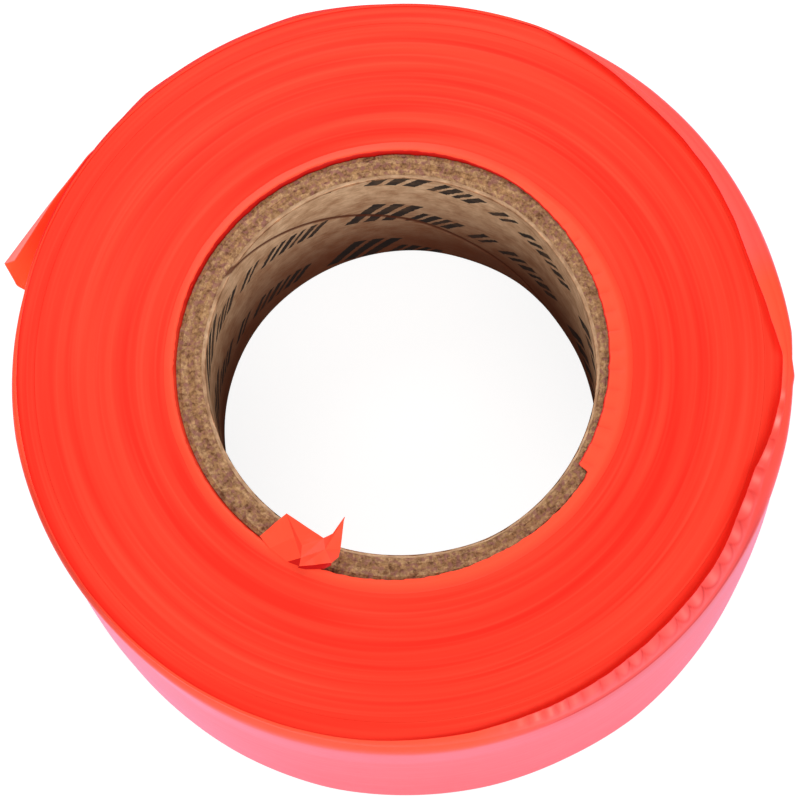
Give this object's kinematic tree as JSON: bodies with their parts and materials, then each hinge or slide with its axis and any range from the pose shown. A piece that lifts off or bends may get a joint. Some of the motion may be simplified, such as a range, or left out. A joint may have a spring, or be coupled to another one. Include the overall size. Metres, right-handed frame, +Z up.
{
  "type": "surveyor's flagging tape roll",
  "caption": "Roll of fluorescent red-orange surveyor's marking tape on a spiral-wound paperboard core, with a loose tail and a crumpled start tab at the core.",
  "frame": {"origin": "centre of the core's bore at the roll's bottom face", "axes": "+Z up along the bore's axis towards the face with the start tab; the tail leaves the roll in the -X +Y quarter"},
  "size_m": [0.0988, 0.0988, 0.0313],
  "materials": {
    "flagging_film": "fluorescent red-orange plastic film, satin",
    "kraft_liner": "smooth kraft paper",
    "chipboard": "grey-brown recycled board, cut end"
  },
  "bodies": {
    "roll": {"core_liner": "kraft_liner", "core_body_ply_1": "chipboard", "core_body_ply_2": "chipboard", "core_body_ply_3": "chipboard", "core_outer_ply": "chipboard", "tape_first_wrap": "flagging_film", "tape_pack": "flagging_film"},
    "last_wrap": {"tape_last_wrap": "flagging_film"},
    "tail": {"tape_tail": "flagging_film"},
    "start_tab": {"tape_start_tab": "flagging_film"}
  },
  "joints": [
    {"name": "tape_unwind", "type": "hinge", "parent": "roll", "child": "last_wrap", "pos_m": [0, 0, 0], "axis": [0, 0, 1], "continuous": true},
    {"name": "tail_lift", "type": "hinge", "parent": "last_wrap", "child": "tail", "pos_m": [-0.03623, 0.03402, 0], "axis": [0, 0, -1], "range_deg": [-3, 120]},
    {"name": "start_tab_fold", "type": "hinge", "parent": "roll", "child": "start_tab", "pos_m": [-0.01763, -0.0234, 0.03091], "axis": [0.7986, -0.6018, 0], "range_deg": [0, 100]}
  ]
}
